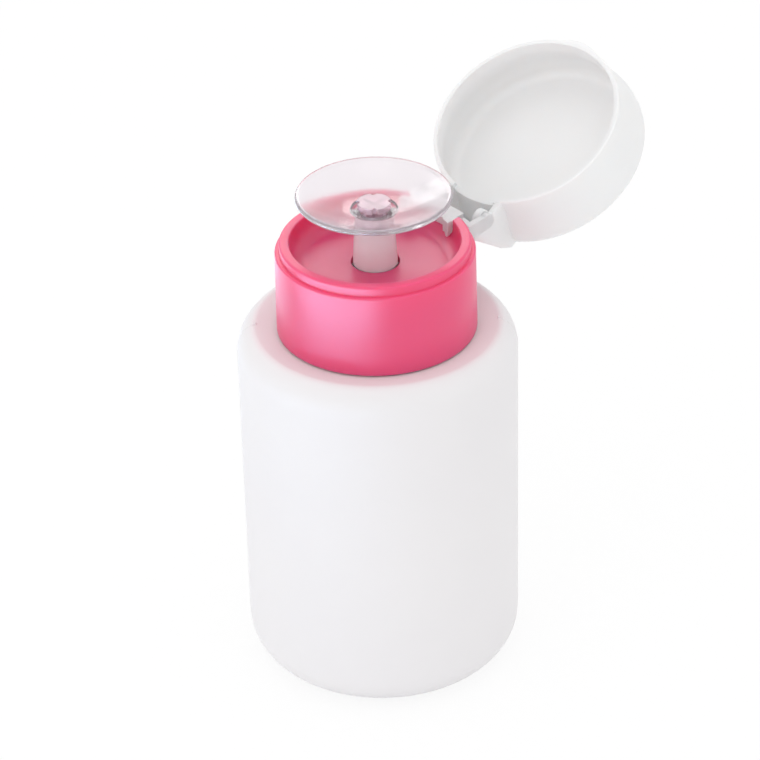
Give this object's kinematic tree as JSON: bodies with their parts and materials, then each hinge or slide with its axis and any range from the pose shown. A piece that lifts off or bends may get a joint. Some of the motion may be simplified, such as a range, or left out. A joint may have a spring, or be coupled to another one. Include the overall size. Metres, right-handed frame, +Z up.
{
  "type": "pump bottle",
  "caption": "Press-down dispenser bottle: milky round bottle, pink screw collar with a well, clear saucer on a sprung pump, and a frosted flip lid hinged at the back",
  "frame": {"origin": "centre of the bottle's foot, on the surface it stands on", "axes": "+Z is up along the bottle's axis; the lid's hinge lies on the +Y side with its pin along X; the lid is drawn swung open"},
  "size_m": [0.06, 0.105, 0.1227],
  "materials": {
    "milky_polyethylene": "satin milky polyethylene",
    "pink_polypropylene": "semi-gloss pink polypropylene",
    "white_polypropylene": "white polypropylene",
    "frosted_polypropylene": "frosted natural polypropylene",
    "clear_styrene": "clear polystyrene",
    "clear_plug": "clear polypropylene",
    "soft_polyethylene": "soft polyethylene",
    "natural_polypropylene": "natural polypropylene",
    "foam_gasket": "foamed polyethylene",
    "steel": "drawn and polished stainless steel"
  },
  "bodies": {
    "vessel": {"bottle": "milky_polyethylene"},
    "pump": {"pump_cylinder": "natural_polypropylene", "guide_bush": "white_polypropylene", "ball_retainer": "white_polypropylene", "dip_tube": "natural_polypropylene", "neck_gasket": "foam_gasket", "spring": "steel"},
    "cap": {"collar": "pink_polypropylene", "hinge_bracket": "white_polypropylene"},
    "flip_lid": {"lid": "frosted_polypropylene"},
    "plunger": {"press_disc": "clear_styrene", "outlet_plug": "clear_plug", "stem": "white_polypropylene", "piston": "soft_polyethylene"},
    "inlet_valve": {"inlet_ball": "steel"},
    "outlet_valve": {"outlet_ball": "steel"}
  },
  "joints": [
    {"name": "pump_rise", "type": "slide", "parent": "vessel", "child": "pump", "axis": [0, 0, 1], "range_m": [0, 0.00525]},
    {"name": "collar_turn", "type": "hinge", "parent": "pump", "child": "cap", "pos_m": [0, 0, 0.09], "axis": [0, 0, 1], "range_deg": [0, 450]},
    {"name": "lid_swing", "type": "hinge", "parent": "cap", "child": "flip_lid", "pos_m": [0, 0.0258, 0.09865], "axis": [1, 0, 0], "range_deg": [0, 148]},
    {"name": "saucer_press", "type": "slide", "parent": "pump", "child": "plunger", "axis": [0, 0, -1], "range_m": [0, 0.008], "stiffness_N_per_m": 500, "springref_m": -0.004, "deforming": ["spring"]},
    {"name": "inlet_lift", "type": "slide", "parent": "pump", "child": "inlet_valve", "axis": [0, 0, 1], "range_m": [0, 0.0015]},
    {"name": "outlet_lift", "type": "slide", "parent": "plunger", "child": "outlet_valve", "axis": [0, 0, 1], "range_m": [0, 0.0008]}
  ],
  "couplings": [
    {"joint": "pump_rise", "follows": "collar_turn", "m_per_rad": 0.00066845}
  ]
}
